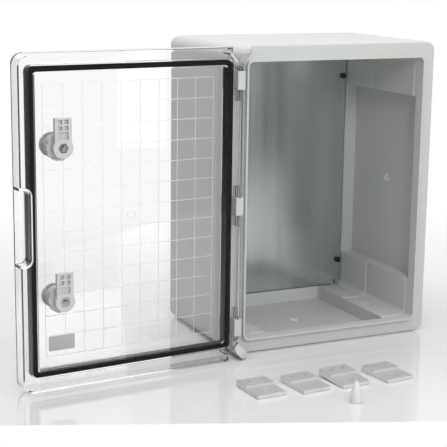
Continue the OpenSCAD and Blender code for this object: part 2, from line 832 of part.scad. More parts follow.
base_box();
mounting_plate();
mounting_plate_screws();
hinge_pin_top();
hinge_pin_middle();
hinge_pin_bottom();
door();
door_gasket();
door_label();
upper_lock_housing();
upper_lock_washer();
upper_lock_ring_nut();
upper_lock_spindle();
upper_lock_cam();
upper_lock_cam_nut();
lower_lock_housing();
lower_lock_washer();
lower_lock_ring_nut();
lower_lock_spindle();
lower_lock_cam();
lower_lock_cam_nut();
wall_bracket_1();
wall_bracket_2();
wall_bracket_3();
wall_bracket_4();
lock_key();
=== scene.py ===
"""Dresses a wall-mounting enclosure with a clear hinged door, cam locks and a loose fixing kit.

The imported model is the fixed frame. Each sub-assembly is a class that builds its own small meshes
and dresses the CAD nodes it owns. Lengths are metres in the model's frame, and fields named *_mm
are millimetres.
"""

import json
import logging
import math
from dataclasses import dataclass, field
from enum import Enum
from typing import Any, Sequence

import bmesh
import bpy
from mathutils import Matrix, Vector


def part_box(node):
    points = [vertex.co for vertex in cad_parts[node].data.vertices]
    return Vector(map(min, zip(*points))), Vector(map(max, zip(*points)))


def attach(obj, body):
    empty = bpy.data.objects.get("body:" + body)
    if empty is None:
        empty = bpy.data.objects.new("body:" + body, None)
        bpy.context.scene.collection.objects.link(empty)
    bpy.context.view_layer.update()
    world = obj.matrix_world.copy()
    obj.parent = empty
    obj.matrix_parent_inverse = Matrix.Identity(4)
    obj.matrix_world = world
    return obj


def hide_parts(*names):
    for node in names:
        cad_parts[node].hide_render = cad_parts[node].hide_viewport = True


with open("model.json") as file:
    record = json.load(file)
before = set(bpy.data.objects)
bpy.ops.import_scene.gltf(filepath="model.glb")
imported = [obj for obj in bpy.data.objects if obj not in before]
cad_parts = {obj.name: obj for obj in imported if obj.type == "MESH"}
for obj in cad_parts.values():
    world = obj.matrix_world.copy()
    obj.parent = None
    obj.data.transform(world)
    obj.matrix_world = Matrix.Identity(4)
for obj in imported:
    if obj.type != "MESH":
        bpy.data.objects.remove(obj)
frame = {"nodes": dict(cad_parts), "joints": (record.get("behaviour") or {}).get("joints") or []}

MM = 0.001
WHITE = "FFFFFF"

# Numbers of the inputs and the output of a Mix node, for colours and for single values
COLOUR_A, COLOUR_B, COLOUR_OUT = 6, 7, 2
VALUE_A, VALUE_B, VALUE_OUT = 2, 3, 0

WAVE_PERIOD = 0.314  # a wave texture of scale 1 repeats after 2 pi / 20
BEVEL_SAMPLES = 4
LATHE_STEPS = 48
ON_AXIS = 1e-7  # radii below this, in metres, are points on the axis
SMOOTH_ANGLE = math.radians(35.0)  # edges flatter than this are shaded smooth

# The door's place: a point of its hinge axis, how far it stands open, and its inward normal
DOOR_JOINT = next(joint for joint in frame["joints"] if joint["name"] == "door_hinge")
DOOR_AXIS = Vector((DOOR_JOINT["pos_m"][0], DOOR_JOINT["pos_m"][1], 0.0))
DOOR_OPEN = math.radians(175.0)
DOOR_NORMAL = Matrix.Rotation(-DOOR_OPEN, 3, "Z") @ Vector((0.0, 1.0, 0.0))

logging.basicConfig(level=logging.INFO, format="%(message)s")
log = logging.getLogger("enclosure")

Colour = tuple[float, float, float, float]
Place = tuple[float, float, float]


class Body(str, Enum):
    """Bodies of the model that pieces ride on."""

    CASE = "case"
    DOOR = "door"
    UPPER_LOCK = "upper_lock"
    LOWER_LOCK = "lower_lock"
    KIT = "fixing_kit"


class Slot(str, Enum):
    """Material slots of the record that new pieces take their finish from."""

    ABS = "abs_grey"
    ZINC_CAST = "zinc_cast"
    GASKET = "gasket_rubber"


# ---------------------------------------------------------------- shared helpers


def linear(hex_colour: str) -> Colour:
    """Turns an sRGB hex colour into linear RGBA, by the sRGB curve.

    Args:
        hex_colour: Six hex digits.

    Returns:
        Linear red, green and blue, and an alpha of 1.
    """
    channels = []
    for start in (0, 2, 4):
        value = int(hex_colour[start:start + 2], 16) / 255.0
        channels.append(value / 12.92 if value <= 0.04045 else ((value + 0.055) / 1.055) ** 2.4)
    return (channels[0], channels[1], channels[2], 1.0)


def scaled(colour: Colour, share: float) -> Colour:
    """Makes a linear colour lighter or darker and keeps its alpha."""
    return (colour[0] * share, colour[1] * share, colour[2] * share, colour[3])


def add_node(
    tree: bpy.types.NodeTree,
    kind: str,
    settings: dict[str, Any] | None = None,
    inputs: dict[str | int, Any] | None = None,
) -> bpy.types.Node:
    """Adds a node with its settings and links.

    Args:
        tree: Node tree that gets the node.
        kind: Blender's type name of the node.
        settings: Attributes of the node to set.
        inputs: For each input, by name or number, a value or the output socket that feeds it.

    Returns:
        The new node.
    """
    node = tree.nodes.new(kind)
    for name, value in (settings or {}).items():
        setattr(node, name, value)
    for key, value in (inputs or {}).items():
        if isinstance(value, bpy.types.NodeSocket):
            tree.links.new(value, node.inputs[key])
        else:
            node.inputs[key].default_value = value
    return node


def per_metre(size_mm: float) -> float:
    """Noise scale whose features are about size_mm across, for coordinates in metres."""
    return 1.0 / (size_mm * MM)


def new_material(name: str) -> tuple[bpy.types.Material, bpy.types.NodeTree]:
    """Makes an empty node material.

    Args:
        name: Name of the material.

    Returns:
        The material and its cleared node tree.
    """
    material = bpy.data.materials.new(name)
    material.use_nodes = True
    material.node_tree.nodes.clear()
    return material, material.node_tree


def dress(node_name: str, material: bpy.types.Material) -> None:
    """Gives a CAD node its finish in every material slot.

    Args:
        node_name: Name of the CAD node.
        material: Finish that it gets.
    """
    obj = frame["nodes"][node_name]
    if not obj.material_slots:
        obj.data.materials.append(material)
    for slot in obj.material_slots:
        slot.material = material
    log.info("dressed %s in %s", node_name, material.name)


def add_piece(
    name: str, mesh: bpy.types.Mesh, material: bpy.types.Material, body: Body
) -> bpy.types.Object:
    """Puts a new mesh into the scene and lets it ride on a body.

    Args:
        name: Name of the piece.
        mesh: Its mesh, already in the model's frame.
        material: Its finish.
        body: Body that carries it.

    Returns:
        The new object.
    """
    obj = bpy.data.objects.new(name, mesh)
    bpy.context.scene.collection.objects.link(obj)
    mesh.materials.append(material)
    mesh.shade_smooth()
    mesh.set_sharp_from_angle(angle=SMOOTH_ANGLE)
    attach(obj, body.value)
    log.info("built %s: %d faces, rides on %s", name, len(mesh.polygons), body.value)
    return obj


def close_mesh(work: bmesh.types.BMesh, name: str) -> bpy.types.Mesh:
    """Turns a finished bmesh into a mesh and frees it.

    Args:
        work: The bmesh, in the model's frame.
        name: Name of the mesh.

    Returns:
        The mesh.
    """
    mesh = bpy.data.meshes.new(name)
    work.to_mesh(mesh)
    work.free()
    return mesh


def lathe(name: str, profile: Sequence[tuple[float, float]], place: Matrix) -> bpy.types.Mesh:
    """Turns a profile about the local Z axis.

    Args:
        name: Name of the mesh.
        profile: Points of (radius, height) in metres, from end to end on the axis, or a loop whose
            last point is its first.
        place: Where the local frame stands in the model.

    Returns:
        The closed mesh.
    """
    work = bmesh.new()
    rings: list[list[bmesh.types.BMVert]] = []
    loop = profile[0] == profile[-1]
    turns = [2 * math.pi * i / LATHE_STEPS for i in range(LATHE_STEPS)]
    for radius, height in profile[:-1] if loop else profile:
        if radius < ON_AXIS:
            rings.append([work.verts.new((0.0, 0.0, height))])
            continue
        rings.append([work.verts.new((radius * math.cos(turn), radius * math.sin(turn), height))
                      for turn in turns])
    for low, high in zip(rings, rings[1:] + rings[:1] if loop else rings[1:]):
        for i in range(LATHE_STEPS):
            j = (i + 1) % LATHE_STEPS
            corners = [low[i % len(low)], low[j % len(low)],
                       high[j % len(high)], high[i % len(high)]]
            # Next to a point on the axis the face is a triangle
            unique = list(dict.fromkeys(corners))
            if len(unique) > 2:
                work.faces.new(unique)
    bmesh.ops.recalc_face_normals(work, faces=work.faces)
    work.transform(place)
    return close_mesh(work, name)


# ---------------------------------------------------------------- finishes


@dataclass(frozen=True)
class MouldedPlastic:
    """Injection-moulded plastic: even colour, fine spark-eroded grain, edges that catch light."""

    name: str
    colour: str
    ior: float = 1.53
    roughness: float = 0.42
    smoother: float = 0.05
    rougher: float = 0.06
    grain_mm: float = 0.9
    grain_depth_mm: float = 0.012
    grain_strength: float = 0.5
    grain_detail: float = 2.0
    cloud_mm: float = 70.0
    cloud_detail: float = 3.0
    cloud: float = 0.03
    edge_mm: float = 0.7

    def make(self) -> bpy.types.Material:
        """Builds the material.

        Returns:
            The finished material.
        """
        material, tree = new_material(self.name)
        place = add_node(tree, "ShaderNodeTexCoord").outputs["Object"]
        # Flow of the melt leaves faint clouds, a few centimetres across
        cloud = add_node(tree, "ShaderNodeTexNoise",
                         inputs={"Vector": place, "Scale": per_metre(self.cloud_mm),
                                 "Detail": self.cloud_detail})
        base = linear(self.colour)
        tint = add_node(tree, "ShaderNodeMix", {"data_type": "RGBA"},
                        {"Factor": cloud.outputs["Fac"],
                         COLOUR_A: scaled(base, 1.0 - self.cloud), COLOUR_B: base})
        # Real spark-erosion grain is 0.1 mm; it is drawn coarser so that it shows
        grain = add_node(tree, "ShaderNodeTexNoise",
                         inputs={"Vector": place, "Scale": per_metre(self.grain_mm),
                                 "Detail": self.grain_detail})
        rough = add_node(tree, "ShaderNodeMapRange",
                         inputs={"Value": grain.outputs["Fac"],
                                 "To Min": self.roughness - self.smoother,
                                 "To Max": self.roughness + self.rougher})
        edge = add_node(tree, "ShaderNodeBevel", {"samples": BEVEL_SAMPLES},
                        {"Radius": self.edge_mm * MM})
        bump = add_node(tree, "ShaderNodeBump",
                        inputs={"Strength": self.grain_strength,
                                "Distance": self.grain_depth_mm * MM,
                                "Height": grain.outputs["Fac"], "Normal": edge.outputs["Normal"]})
        shader = add_node(tree, "ShaderNodeBsdfPrincipled",
                          inputs={"Base Color": tint.outputs[COLOUR_OUT], "IOR": self.ior,
                                  "Roughness": rough.outputs["Result"],
                                  "Normal": bump.outputs["Normal"]})
        add_node(tree, "ShaderNodeOutputMaterial", inputs={"Surface": shader.outputs["BSDF"]})
        return material


@dataclass(frozen=True)
class ClearPolycarbonate:
    """Polished clear polycarbonate: water-clear faces, grey edges where light runs along the sheet.

    The raised grid lines and the sunk gate mark are spark-eroded in the mould, so they are frosted.
    Both are found by their height over the hinge axis, along the door's own normal.
    """

    axis: Place
    normal: Place
    name: str = "polycarbonate_clear_moulded"
    colour: str = "FEFFFF"
    shadow: str = "F4F5F5"
    ior: float = 1.58
    line_height_mm: float = -7.5
    line_reach_mm: float = 0.12
    gate_height_mm: float = -8.2
    gate_reach_mm: float = 0.3
    frost: float = 0.34
    clear_through: float = 0.62
    ripple_mm: float = 45.0
    ripple_detail: float = 1.0
    ripple_depth_mm: float = 0.02
    ripple_strength: float = 0.3

    def make(self) -> bpy.types.Material:
        """Builds the material.

        Returns:
            The finished material.
        """
        material, tree = new_material(self.name)
        place = add_node(tree, "ShaderNodeTexCoord").outputs["Object"]
        over = add_node(tree, "ShaderNodeVectorMath", {"operation": "SUBTRACT"},
                        {0: place, 1: self.axis})
        height = add_node(tree, "ShaderNodeVectorMath", {"operation": "DOT_PRODUCT"},
                          {0: over.outputs["Vector"], 1: self.normal})
        marks = [add_node(tree, "ShaderNodeMath", {"operation": "COMPARE"},
                          {0: height.outputs["Value"], 1: middle_mm * MM, 2: reach_mm * MM})
                 for middle_mm, reach_mm in ((self.line_height_mm, self.line_reach_mm),
                                             (self.gate_height_mm, self.gate_reach_mm))]
        frosted = add_node(tree, "ShaderNodeMath", {"operation": "MAXIMUM"},
                           {0: marks[0].outputs["Value"], 1: marks[1].outputs["Value"]})
        # Cooling leaves the faces very slightly wavy, which bends what is seen through them
        ripple = add_node(tree, "ShaderNodeTexNoise",
                          inputs={"Vector": place, "Scale": per_metre(self.ripple_mm),
                                  "Detail": self.ripple_detail})
        bump = add_node(tree, "ShaderNodeBump",
                        inputs={"Strength": self.ripple_strength,
                                "Distance": self.ripple_depth_mm * MM,
                                "Height": ripple.outputs["Fac"]})
        rough = add_node(tree, "ShaderNodeMath", {"operation": "MULTIPLY"},
                         {0: frosted.outputs["Value"], 1: self.frost})
        passed = add_node(tree, "ShaderNodeMapRange",
                          inputs={"Value": frosted.outputs["Value"], "To Min": 1.0,
                                  "To Max": self.clear_through})
        shader = add_node(tree, "ShaderNodeBsdfPrincipled",
                          inputs={"Base Color": linear(self.colour), "IOR": self.ior,
                                  "Roughness": rough.outputs["Value"],
                                  "Transmission Weight": passed.outputs["Result"],
                                  "Normal": bump.outputs["Normal"]})
        # A clear sheet throws almost no shadow: light passes on its way to what stands behind it
        path = add_node(tree, "ShaderNodeLightPath")
        passing = add_node(tree, "ShaderNodeMath", {"operation": "MAXIMUM"},
                           {0: path.outputs["Is Shadow Ray"], 1: path.outputs["Is Diffuse Ray"]})
        through = add_node(tree, "ShaderNodeBsdfTransparent",
                           inputs={"Color": linear(self.shadow)})
        both = add_node(tree, "ShaderNodeMixShader",
                        inputs={0: passing.outputs["Value"], 1: shader.outputs["BSDF"],
                                2: through.outputs["BSDF"]})
        add_node(tree, "ShaderNodeOutputMaterial", inputs={"Surface": both.outputs["Shader"]})
        return material


@dataclass(frozen=True)
class KnurledPlastic:
    """Injection-moulded plastic with a fine knurl on top; the tops are painted darker than the
    sides as painted shade.

    The top faces are those whose normal has a Z above level_from.
    """

    name: str
    colour: str
    top_shade_colour: str
    ior: float = 1.53
    roughness: float = 0.45
    level_from: float = 0.55
    knurl_mm: float = 1.6
    knurl_depth_mm: float = 0.25
    knurl_strength: float = 0.6
    edge_mm: float = 0.35

    def make(self) -> bpy.types.Material:
        """Builds the material.

        Returns:
            The finished material.
        """
        material, tree = new_material(self.name)
        place = add_node(tree, "ShaderNodeTexCoord").outputs["Object"]
        normal = add_node(tree, "ShaderNodeNewGeometry").outputs["True Normal"]
        facing = add_node(tree, "ShaderNodeSeparateXYZ", inputs={0: normal})
        level = add_node(tree, "ShaderNodeMath", {"operation": "GREATER_THAN"},
                         {0: facing.outputs["Z"], 1: self.level_from})
        # Crossed ridges, one knurl pitch apart
        ridges = [add_node(tree, "ShaderNodeTexWave", {"bands_direction": way},
                           {"Vector": place, "Scale": WAVE_PERIOD * per_metre(self.knurl_mm)})
                  for way in ("X", "Y")]
        knurl = add_node(tree, "ShaderNodeMath", {"operation": "MULTIPLY"},
                         {0: ridges[0].outputs["Fac"], 1: ridges[1].outputs["Fac"]})
        depth = add_node(tree, "ShaderNodeMath", {"operation": "MULTIPLY"},
                         {0: knurl.outputs["Value"], 1: level.outputs["Value"]})
        edge = add_node(tree, "ShaderNodeBevel", {"samples": BEVEL_SAMPLES},
                        {"Radius": self.edge_mm * MM})
        bump = add_node(tree, "ShaderNodeBump",
                        inputs={"Strength": self.knurl_strength,
                                "Distance": self.knurl_depth_mm * MM,
                                "Height": depth.outputs["Value"], "Normal": edge.outputs["Normal"]})
        # Upward faces take the second, darker colour: painted shade on the tops
        base = add_node(tree, "ShaderNodeMix", {"data_type": "RGBA"},
                        {"Factor": level.outputs["Value"],
                         COLOUR_A: linear(self.colour), COLOUR_B: linear(self.top_shade_colour)})
        shader = add_node(tree, "ShaderNodeBsdfPrincipled",
                          inputs={"Base Color": base.outputs[COLOUR_OUT], "IOR": self.ior,
                                  "Roughness": self.roughness, "Normal": bump.outputs["Normal"]})
        add_node(tree, "ShaderNodeOutputMaterial", inputs={"Surface": shader.outputs["BSDF"]})
        return material


@dataclass(frozen=True)
class GalvanisedSheet:
    """Galvanised sheet steel: cool grey metal with rolling streaks that run up the plate.

    Its roughness stays below 0.27 everywhere: where it crosses that, the denoiser draws thin lines.
    """

    name: str = "galvanised_sheet_rolled"
    colour: str = "E2E7E4"
    dark: str = "BEC5C2"
    roughness: float = 0.22
    roughness_spread: float = 0.05
    streak_mm: float = 6.0
    streak_length: float = 40.0
    streak_detail: float = 4.0
    streak_fineness: float = 0.6
    band_mm: float = 28.0
    band_detail: float = 1.0
    band_share: float = 0.5

    def make(self) -> bpy.types.Material:
        """Builds the material.

        Returns:
            The finished material.
        """
        material, tree = new_material(self.name)
        place = add_node(tree, "ShaderNodeTexCoord").outputs["Object"]
        # Streaks are streak_length times as long as they are wide, along Z
        stretch = add_node(tree, "ShaderNodeMapping",
                           inputs={"Vector": place, "Scale": (1.0, 1.0, 1.0 / self.streak_length)})
        streak = add_node(tree, "ShaderNodeTexNoise",
                          inputs={"Vector": stretch.outputs["Vector"],
                                  "Scale": per_metre(self.streak_mm),
                                  "Detail": self.streak_detail, "Roughness": self.streak_fineness})
        # Wide bands where the sheet ran over the rollers
        band = add_node(tree, "ShaderNodeTexNoise",
                        inputs={"Vector": stretch.outputs["Vector"],
                                "Scale": per_metre(self.band_mm), "Detail": self.band_detail})
        blend = add_node(tree, "ShaderNodeMix",
                         inputs={"Factor": self.band_share, VALUE_A: streak.outputs["Fac"],
                                 VALUE_B: band.outputs["Fac"]})
        tint = add_node(tree, "ShaderNodeMix", {"data_type": "RGBA"},
                        {"Factor": blend.outputs[VALUE_OUT],
                         COLOUR_A: linear(self.dark), COLOUR_B: linear(self.colour)})
        rough = add_node(tree, "ShaderNodeMapRange",
                         inputs={"Value": blend.outputs[VALUE_OUT],
                                 "To Min": self.roughness - self.roughness_spread,
                                 "To Max": self.roughness + self.roughness_spread})
        shader = add_node(tree, "ShaderNodeBsdfPrincipled",
                          inputs={"Base Color": tint.outputs[COLOUR_OUT], "Metallic": 1.0,
                                  "Roughness": rough.outputs["Result"]})
        add_node(tree, "ShaderNodeOutputMaterial", inputs={"Surface": shader.outputs["BSDF"]})
        return material


@dataclass(frozen=True)
class FoamRubber:
    """Foamed EPDM rubber: near-black, matt, with open pores on its skin."""

    name: str = "epdm_foam_black"
    colour: str = "0B0B0C"
    roughness: float = 0.8
    pore_mm: float = 0.8
    pore_depth_mm: float = 0.15
    pore_strength: float = 0.6
    pore_shade_lift: float = 1.8

    def make(self) -> bpy.types.Material:
        """Builds the material.

        Returns:
            The finished material.
        """
        material, tree = new_material(self.name)
        place = add_node(tree, "ShaderNodeTexCoord").outputs["Object"]
        # Each cell is a pore; its hollow is painted darker than the walls between pores, as painted
        # shade. Real pores are a few tenths of a millimetre across; they are drawn coarser so that
        # they show
        pores = add_node(tree, "ShaderNodeTexVoronoi",
                         inputs={"Vector": place, "Scale": per_metre(self.pore_mm)})
        base = linear(self.colour)
        tint = add_node(tree, "ShaderNodeMix", {"data_type": "RGBA"},
                        {"Factor": pores.outputs["Distance"], COLOUR_A: base,
                         COLOUR_B: scaled(base, self.pore_shade_lift)})
        bump = add_node(tree, "ShaderNodeBump",
                        inputs={"Strength": self.pore_strength,
                                "Distance": self.pore_depth_mm * MM,
                                "Height": pores.outputs["Distance"]})
        shader = add_node(tree, "ShaderNodeBsdfPrincipled",
                          inputs={"Base Color": tint.outputs[COLOUR_OUT],
                                  "Roughness": self.roughness, "Normal": bump.outputs["Normal"]})
        add_node(tree, "ShaderNodeOutputMaterial", inputs={"Surface": shader.outputs["BSDF"]})
        return material


@dataclass(frozen=True)
class SmallMetal:
    """Drawn, cast or plated small metal parts: fine marks and slightly uneven shine."""

    name: str
    colour: str
    roughness: float
    smoother: float = 0.08
    rougher: float = 0.12
    mark_mm: float = 1.2
    mark_detail: float = 3.0
    mark_shade: float = 0.82
    edge_mm: float = 0.3
    groove_mm: float = 0.0
    groove_shade_colour: str = "101113"

    def make(self) -> bpy.types.Material:
        """Builds the material.

        Returns:
            The finished material.
        """
        material, tree = new_material(self.name)
        place = add_node(tree, "ShaderNodeTexCoord").outputs["Object"]
        # Marks of the die, the rolls or the plating. The real ones are too fine to show, so these
        # are drawn coarser
        marks = add_node(tree, "ShaderNodeTexNoise",
                         inputs={"Vector": place, "Scale": per_metre(self.mark_mm),
                                 "Detail": self.mark_detail})
        base = linear(self.colour)
        tint = add_node(tree, "ShaderNodeMix", {"data_type": "RGBA"},
                        {"Factor": marks.outputs["Fac"],
                         COLOUR_A: scaled(base, self.mark_shade), COLOUR_B: base})
        rough = add_node(tree, "ShaderNodeMapRange",
                         inputs={"Value": marks.outputs["Fac"],
                                 "To Min": self.roughness - self.smoother,
                                 "To Max": self.roughness + self.rougher})
        edge = add_node(tree, "ShaderNodeBevel", {"samples": BEVEL_SAMPLES},
                        {"Radius": self.edge_mm * MM})
        colour = tint.outputs[COLOUR_OUT]
        if self.groove_mm:
            # Rolled grooves round an upright pin, painted dark as painted shade in the grooves
            groove = add_node(tree, "ShaderNodeTexWave", {"bands_direction": "Z"},
                              {"Vector": place, "Scale": WAVE_PERIOD * per_metre(self.groove_mm)})
            groove_shaded = add_node(tree, "ShaderNodeMix", {"data_type": "RGBA"},
                             {"Factor": groove.outputs["Fac"],
                              COLOUR_A: linear(self.groove_shade_colour), COLOUR_B: colour})
            colour = groove_shaded.outputs[COLOUR_OUT]
        shader = add_node(tree, "ShaderNodeBsdfPrincipled",
                          inputs={"Base Color": colour, "Metallic": 1.0,
                                  "Roughness": rough.outputs["Result"],
                                  "Normal": edge.outputs["Normal"]})
        add_node(tree, "ShaderNodeOutputMaterial", inputs={"Surface": shader.outputs["BSDF"]})
        return material


@dataclass
class Finishes:
    """All finishes of the enclosure, made once."""

    case_abs: bpy.types.Material = field(init=False)
    gate_abs: bpy.types.Material = field(init=False)
    lock_abs: bpy.types.Material = field(init=False)
    kit_abs: bpy.types.Material = field(init=False)
    key_plastic: bpy.types.Material = field(init=False)
    label_film: bpy.types.Material = field(init=False)
    door_clear: bpy.types.Material = field(init=False)
    plate_zinc: bpy.types.Material = field(init=False)
    gasket: bpy.types.Material = field(init=False)
    washer: bpy.types.Material = field(init=False)
    screw_black: bpy.types.Material = field(init=False)
    pin_steel: bpy.types.Material = field(init=False)
    zinc_cast: bpy.types.Material = field(init=False)

    def __post_init__(self) -> None:
        """Makes each finish."""
        # ABS from a spark-eroded mould: matt, faintly uneven light grey, without hard reflections
        self.case_abs = MouldedPlastic("abs_moulded_light_grey", "CDCFCC").make()
        # ABS sheared off at the gate: a paler and slightly shinier ring
        self.gate_abs = MouldedPlastic("abs_gate_rim_sheared", "F4F6F3", roughness=0.3,
                                       edge_mm=0.2).make()
        # ABS from a smaller mould: crisper edges, otherwise as the case
        self.lock_abs = MouldedPlastic("abs_moulded_lock_grey", "D0D2CF", edge_mm=0.35,
                                       cloud_mm=12.0).make()
        # ABS with a knurl that grips the wall: its tops are painted darker than its sides, as
        # painted shade
        self.kit_abs = KnurledPlastic("abs_knurled_bracket_grey", "DADCDA", "B2B4B2").make()
        # Moulded nylon: whiter than the ABS, with a slight waxy sheen
        self.key_plastic = MouldedPlastic("nylon_moulded_white", "E4E5E3", roughness=0.35,
                                          edge_mm=0.3, cloud_mm=8.0).make()
        # Polyester film with a matt coat: a flat grey field, duller than the door about it
        self.label_film = MouldedPlastic("polyester_label_film", "BDBEC0", roughness=0.55,
                                         cloud=0.05, cloud_mm=10.0, edge_mm=0.15).make()
        # Polished polycarbonate: seen by its edges, its frosted lines and what it mirrors
        self.door_clear = ClearPolycarbonate(tuple(DOOR_AXIS), tuple(DOOR_NORMAL)).make()
        # Hot-dip galvanised and rolled sheet: soft upright reflections, slightly green-grey
        self.plate_zinc = GalvanisedSheet().make()
        # Foamed EPDM: swallows light, only its crown shows a dull line
        self.gasket = FoamRubber().make()
        # Polyamide: close to the ABS, slightly darker
        self.washer = MouldedPlastic("polyamide_washer_grey", "CCCECB", edge_mm=0.2,
                                     cloud_mm=8.0).make()
        # Black zinc-plated steel: dark with a blunt metal sheen
        self.screw_black = SmallMetal("steel_black_zinc_plated", "55595C", roughness=0.45).make()
        # Rolled steel pin: painted dark rings of groove shade between bright ones, seen through the
        # clear knuckles
        self.pin_steel = SmallMetal("steel_grooved_pin", "4A4D50", roughness=0.3,
                                    groove_mm=2.4).make()
        # Die-cast zinc: light grey metal with a satin shine
        self.zinc_cast = SmallMetal("zinc_die_cast", "C2C5C6", roughness=0.28).make()


# ---------------------------------------------------------------- sub-assemblies


@dataclass
class CaseAssembly:
    """Case, hinge pins, mounting plate and its screws."""

    finishes: Finishes
    width_mm: float = 300.0
    height_mm: float = 400.0
    wall_mm: float = 4.5
    gate_y_mm: float = -0.5
    gate_sink_mm: float = 0.4
    gate_r_mm: float = 5.3
    gate_rim_mm: float = 2.2
    gate_rise_mm: float = 1.0
    gate_round_mm: float = 0.25

    def build(self) -> None:
        """Adds the raised rim that the mould's gate leaves in each wall pocket."""
        out, inner = self.gate_r_mm * MM, (self.gate_r_mm - self.gate_rim_mm) * MM
        rise, round_off = self.gate_rise_mm * MM, self.gate_round_mm * MM
        profile = [(out, 0.0), (out, rise - round_off), (out - round_off, rise),
                   (inner + round_off, rise), (inner, rise - round_off), (inner, 0.0), (out, 0.0)]
        inside_mm = self.wall_mm - self.gate_sink_mm
        side_x, middle = (self.width_mm / 2 - inside_mm) * MM, self.height_mm / 2 * MM
        low, high = inside_mm * MM, (self.height_mm - inside_mm) * MM
        gate_y = self.gate_y_mm * MM
        for side, place, inward in (("left", (-side_x, gate_y, middle), (1, 0, 0)),
                                    ("right", (side_x, gate_y, middle), (-1, 0, 0)),
                                    ("floor", (0.0, gate_y, low), (0, 0, 1)),
                                    ("top", (0.0, gate_y, high), (0, 0, -1))):
            turn = Vector(inward).to_track_quat("Z", "Y").to_matrix().to_4x4()
            name = f"pocket_gate_rim_{side}"
            mesh = lathe(name, profile, Matrix.Translation(place) @ turn)
            add_piece(name, mesh, self.finishes.gate_abs, Body.CASE)

    def dress(self) -> None:
        """Gives the case's CAD nodes their finishes."""
        dress("base_box", self.finishes.case_abs)
        dress("mounting_plate", self.finishes.plate_zinc)
        dress("mounting_plate_screws", self.finishes.screw_black)
        for place in ("top", "middle", "bottom"):
            dress(f"hinge_pin_{place}", self.finishes.pin_steel)


@dataclass
class DoorAssembly:
    """Clear door with its gasket and bare label plate. Sizes are those of the closed door."""

    finishes: Finishes
    width_mm: float = 300.0
    height_mm: float = 400.0
    panel_back_mm: float = -118.0
    gasket_in_mm: float = 19.75
    gasket_half_mm: float = 3.05
    gasket_crown_half_mm: float = 2.75
    gasket_shoulder_mm: float = 9.9
    gasket_h_mm: float = 12.2
    gasket_corner_mm: float = 3.2
    shoulder_drop_mm: float = 0.3
    crown_start_mm: float = 0.6
    crown_step_deg: int = 15
    corner_steps: int = 8
    bond_mm: float = 0.05

    def swing(self) -> Matrix:
        """Swings what is drawn on the closed door to where the door stands."""
        return (Matrix.Translation(DOOR_AXIS) @ Matrix.Rotation(-DOOR_OPEN, 4, "Z")
                @ Matrix.Translation(-DOOR_AXIS))

    def gasket_path(self) -> list[tuple[float, float, float, float]]:
        """Follows the middle of the gasket round the door.

        Returns:
            X and Z of each point in millimetres, and its outward direction in X and Z.
        """
        half_w = self.width_mm / 2 - self.gasket_in_mm - self.gasket_corner_mm
        half_h = self.height_mm / 2 - self.gasket_in_mm - self.gasket_corner_mm
        points = []
        for number, (sx, sz) in enumerate(((1, 1), (-1, 1), (-1, -1), (1, -1))):
            for step in range(self.corner_steps + 1):
                angle = math.pi / 2 * (number + step / self.corner_steps)
                out_x, out_z = math.cos(angle), math.sin(angle)
                x = sx * half_w + self.gasket_corner_mm * out_x
                z = self.height_mm / 2 + sz * half_h + self.gasket_corner_mm * out_z
                points.append((x, z, out_x, out_z))
        return points

    def build(self) -> None:
        """Builds the gasket as foamed into its groove: bonded to both ribs, with a round crown."""
        half, crown_half = self.gasket_half_mm, self.gasket_crown_half_mm
        shoulder, drop = self.gasket_shoulder_mm, self.shoulder_drop_mm
        crown_foot = shoulder + self.crown_start_mm
        crown = [(crown_half * math.cos(math.radians(turn)),
                  crown_foot + (self.gasket_h_mm - crown_foot) * math.sin(math.radians(turn)))
                 for turn in range(0, 181, self.crown_step_deg)]
        # Across and up in millimetres, from the groove's outer rib over the crown to its inner rib
        profile = ([(half, -self.bond_mm), (half, shoulder - drop), (crown_half, shoulder)] + crown
                   + [(-crown_half, shoulder), (-half, shoulder - drop), (-half, -self.bond_mm)])
        work = bmesh.new()
        rings = [[work.verts.new(((x + out_x * across) * MM, (self.panel_back_mm + up) * MM,
                                  (z + out_z * across) * MM)) for across, up in profile]
                 for x, z, out_x, out_z in self.gasket_path()]
        for ring, follower in zip(rings, rings[1:] + rings[:1]):
            for i in range(len(profile)):
                j = (i + 1) % len(profile)
                work.faces.new((ring[i], ring[j], follower[j], follower[i]))
        bmesh.ops.recalc_face_normals(work, faces=work.faces)
        work.transform(self.swing())
        mesh = close_mesh(work, "door_gasket_foamed")
        piece = add_piece("door_gasket_foamed", mesh, self.finishes.gasket, Body.DOOR)
        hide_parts("door_gasket")

    def dress(self) -> None:
        """Gives the door's CAD nodes their finishes."""
        dress("door", self.finishes.door_clear)
        dress("door_gasket", self.finishes.gasket)
        dress("door_label", self.finishes.label_film)


